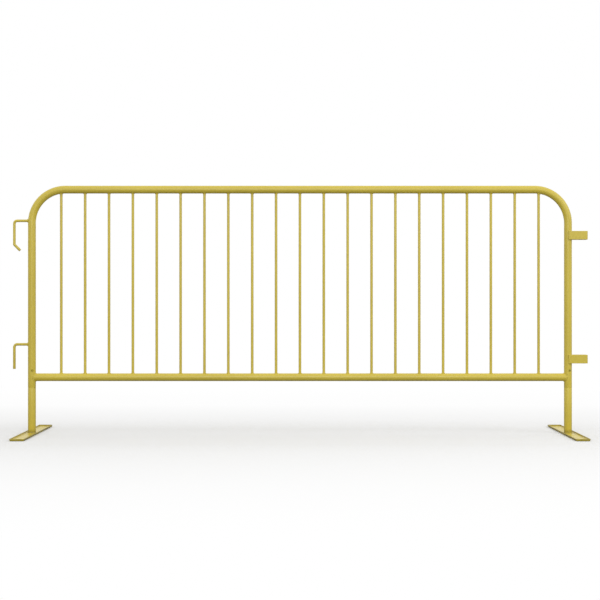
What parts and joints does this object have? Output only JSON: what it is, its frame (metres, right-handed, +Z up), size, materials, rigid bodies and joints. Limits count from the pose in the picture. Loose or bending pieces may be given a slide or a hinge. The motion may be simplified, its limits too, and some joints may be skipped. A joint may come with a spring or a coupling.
{
  "type": "crowd control barrier",
  "caption": "Steel barrier panel of bent tube with thin uprights, hooks and loops for linking, on removable flat pan feet locked by snap buttons.",
  "frame": {"origin": "on the ground midway between the two leg axes, which is within 1 mm of the middle of the overall length, from the hooks to the loops", "axes": "+Z up, +X along the panel from the hooks towards the loops, -Y towards the front, which the snap buttons face, turned 17 degrees to the right"},
  "size_m": [2.5855, 0.6096, 1.1164],
  "materials": {
    "yellow_coat": "satin",
    "button_zinc": "satin",
    "spring_steel": "satin"
  },
  "bodies": {
    "left_foot": {"left_foot_base": "yellow_coat", "left_foot_post": "yellow_coat", "left_foot_spigot": "yellow_coat", "left_button_spring": "spring_steel"},
    "panel": {"frame_hoop": "yellow_coat", "bottom_rail": "yellow_coat", "upright_01": "yellow_coat", "upright_02": "yellow_coat", "upright_03": "yellow_coat", "upright_04": "yellow_coat", "upright_05": "yellow_coat", "upright_06": "yellow_coat", "upright_07": "yellow_coat", "upright_08": "yellow_coat", "upright_09": "yellow_coat", "upright_10": "yellow_coat", "upright_11": "yellow_coat", "upright_12": "yellow_coat", "upright_13": "yellow_coat", "upright_14": "yellow_coat", "upright_15": "yellow_coat", "upright_16": "yellow_coat", "upright_17": "yellow_coat", "upright_18": "yellow_coat", "upright_19": "yellow_coat", "upright_20": "yellow_coat", "upright_21": "yellow_coat", "upper_hook": "yellow_coat", "lower_hook": "yellow_coat", "upper_loop": "yellow_coat", "lower_loop": "yellow_coat"},
    "right_foot": {"right_foot_base": "yellow_coat", "right_foot_post": "yellow_coat", "right_foot_spigot": "yellow_coat", "right_button_spring": "spring_steel"},
    "left_button": {"left_snap_button": "button_zinc"},
    "right_button": {"right_snap_button": "button_zinc"}
  },
  "joints": [
    {"name": "frame_lift", "type": "slide", "parent": "left_foot", "child": "panel", "axis": [0, 0, 1], "range_m": [0, 0.14], "deforming": ["left_snap_button"]},
    {"name": "right_foot_slide", "type": "slide", "parent": "panel", "child": "right_foot", "axis": [0, 0, -1], "range_m": [0, 0.14], "deforming": ["right_snap_button"]},
    {"name": "left_button_press", "type": "slide", "parent": "left_foot", "child": "left_button", "axis": [-0.2924, 0.9563, 0], "range_m": [0, 0.0062], "stiffness_N_per_m": 2000, "deforming": ["left_button_spring"]},
    {"name": "right_button_press", "type": "slide", "parent": "right_foot", "child": "right_button", "axis": [-0.2924, 0.9563, 0], "range_m": [0, 0.0062], "stiffness_N_per_m": 2000, "deforming": ["right_button_spring"]}
  ],
  "couplings": [
    {"joint": "right_foot_slide", "follows": "frame_lift", "ratio": 1}
  ]
}
